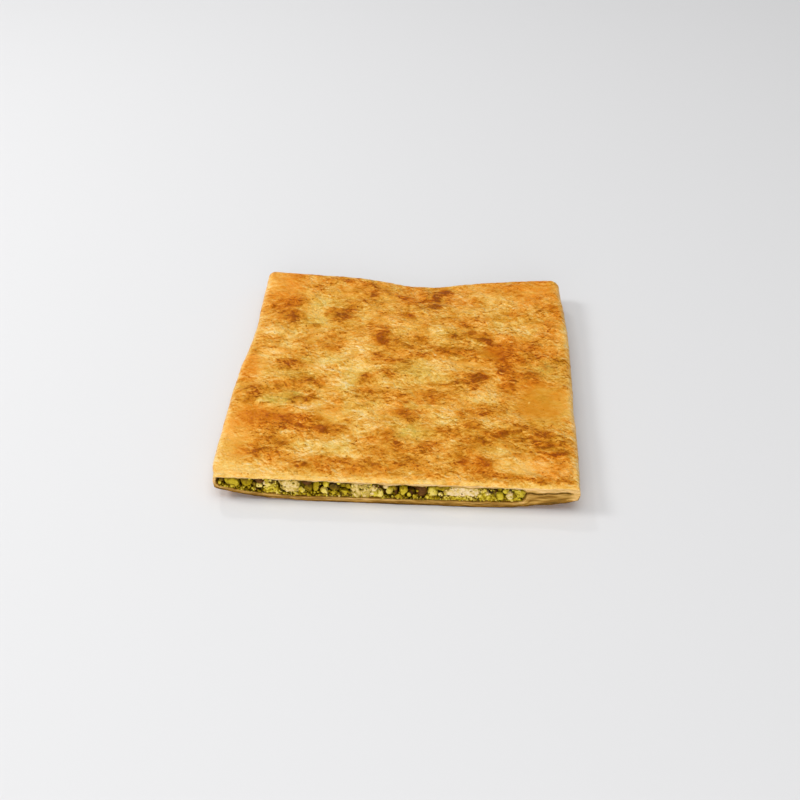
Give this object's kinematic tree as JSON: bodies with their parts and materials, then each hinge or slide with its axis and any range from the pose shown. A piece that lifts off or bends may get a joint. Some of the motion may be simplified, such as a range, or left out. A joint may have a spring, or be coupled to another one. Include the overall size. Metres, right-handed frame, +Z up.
{
  "type": "katmer",
  "caption": "Flat square packet of thin flaky baked dough, cut open along one side, with a filling of chopped pistachio and clotted cream.",
  "frame": {"origin": "on the surface it rests on, under the middle of the packet's box", "axes": "+X to the right along the cut, +Y from the cut to the back fold, +Z up"},
  "size_m": [0.177, 0.1854, 0.0158],
  "materials": {
    "baked_dough": "flaky baked dough, golden with brown blisters, lightly buttered",
    "pistachio": "chopped pistachio kernels, green-yellow flesh with purple-brown skins",
    "cream": "moist clotted cream"
  },
  "bodies": {
    "root": {"pastry": "baked_dough", "pistachio_filling": "pistachio", "cream_left": "cream", "cream_middle": "cream", "cream_right": "cream"}
  },
  "joints": []
}
